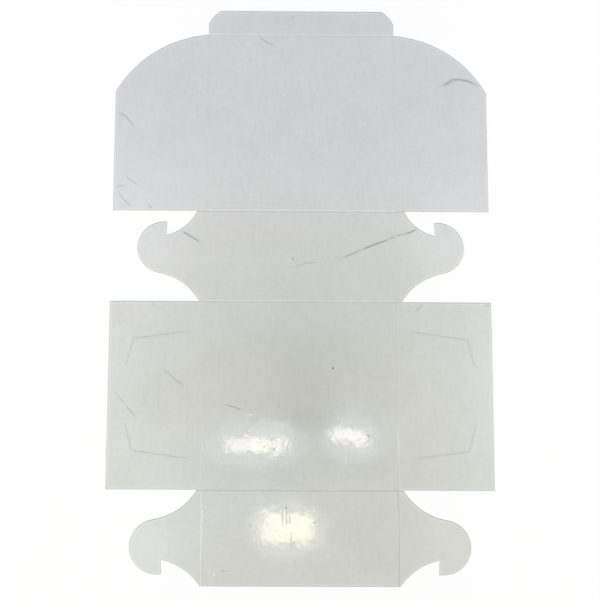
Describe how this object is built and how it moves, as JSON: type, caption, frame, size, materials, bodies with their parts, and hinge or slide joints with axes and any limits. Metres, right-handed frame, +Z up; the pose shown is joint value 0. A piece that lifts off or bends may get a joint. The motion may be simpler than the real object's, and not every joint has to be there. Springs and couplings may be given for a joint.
{
  "type": "cake box",
  "caption": "Flat die-cut cake box of coated white board: base, four walls, hooked ears, slits and a lid with round-shouldered wings and a tuck flap.",
  "frame": {"origin": "middle of the underside of the base panel, which lies on the ground", "axes": "+Y from the front wall over the base and back wall to the lid, +Z up, towards the face that ends up inside the box"},
  "size_m": [0.3544, 0.5559, 0.0004],
  "materials": {
    "board": "white coated board with a soft gloss"
  },
  "bodies": {
    "base": {"base": "board"},
    "side_wall_left": {"side_wall_left": "board"},
    "side_wall_right": {"side_wall_right": "board"},
    "front_wall": {"front_wall": "board"},
    "back_wall": {"back_wall": "board"},
    "front_ear_left": {"front_ear_left": "board"},
    "front_ear_right": {"front_ear_right": "board"},
    "back_ear_left": {"back_ear_left": "board"},
    "back_ear_right": {"back_ear_right": "board"},
    "lid": {"lid": "board"},
    "lid_wing_left": {"lid_wing_left": "board"},
    "lid_wing_right": {"lid_wing_right": "board"},
    "tuck_flap": {"tuck_flap": "board"}
  },
  "joints": [
    {"name": "side_wall_left_fold", "type": "hinge", "parent": "base", "child": "side_wall_left", "pos_m": [-0.09, 0, 0.00045], "axis": [0, 1, 0], "range_deg": [0, 90]},
    {"name": "side_wall_right_fold", "type": "hinge", "parent": "base", "child": "side_wall_right", "pos_m": [0.09, 0, 0.00045], "axis": [0, -1, 0], "range_deg": [0, 90]},
    {"name": "front_wall_fold", "type": "hinge", "parent": "base", "child": "front_wall", "pos_m": [0, -0.089, 0.00045], "axis": [-1, 0, 0], "range_deg": [0, 90]},
    {"name": "back_wall_fold", "type": "hinge", "parent": "base", "child": "back_wall", "pos_m": [0, 0.089, 0.00045], "axis": [1, 0, 0], "range_deg": [0, 90]},
    {"name": "front_ear_left_fold", "type": "hinge", "parent": "front_wall", "child": "front_ear_left", "pos_m": [-0.08935, -0.133, 0.00045], "axis": [0, 1, 0], "range_deg": [0, 90]},
    {"name": "front_ear_right_fold", "type": "hinge", "parent": "front_wall", "child": "front_ear_right", "pos_m": [0.08935, -0.133, 0.00045], "axis": [0, -1, 0], "range_deg": [0, 90]},
    {"name": "back_ear_left_fold", "type": "hinge", "parent": "back_wall", "child": "back_ear_left", "pos_m": [-0.08935, 0.133, 0.00045], "axis": [0, 1, 0], "range_deg": [0, 90]},
    {"name": "back_ear_right_fold", "type": "hinge", "parent": "back_wall", "child": "back_ear_right", "pos_m": [0.08935, 0.133, 0.00045], "axis": [0, -1, 0], "range_deg": [0, 90]},
    {"name": "lid_fold", "type": "hinge", "parent": "back_wall", "child": "lid", "pos_m": [0, 0.177, 0.00045], "axis": [1, 0, 0], "range_deg": [0, 90]},
    {"name": "lid_wing_left_fold", "type": "hinge", "parent": "lid", "child": "lid_wing_left", "pos_m": [-0.0887, 0.26567, 0.00045], "axis": [0, 1, 0], "range_deg": [0, 90]},
    {"name": "lid_wing_right_fold", "type": "hinge", "parent": "lid", "child": "lid_wing_right", "pos_m": [0.0887, 0.26567, 0.00045], "axis": [0, -1, 0], "range_deg": [0, 90]},
    {"name": "tuck_flap_fold", "type": "hinge", "parent": "lid", "child": "tuck_flap", "pos_m": [0, 0.35435, 0.00045], "axis": [1, 0, 0], "range_deg": [0, 90]}
  ]
}
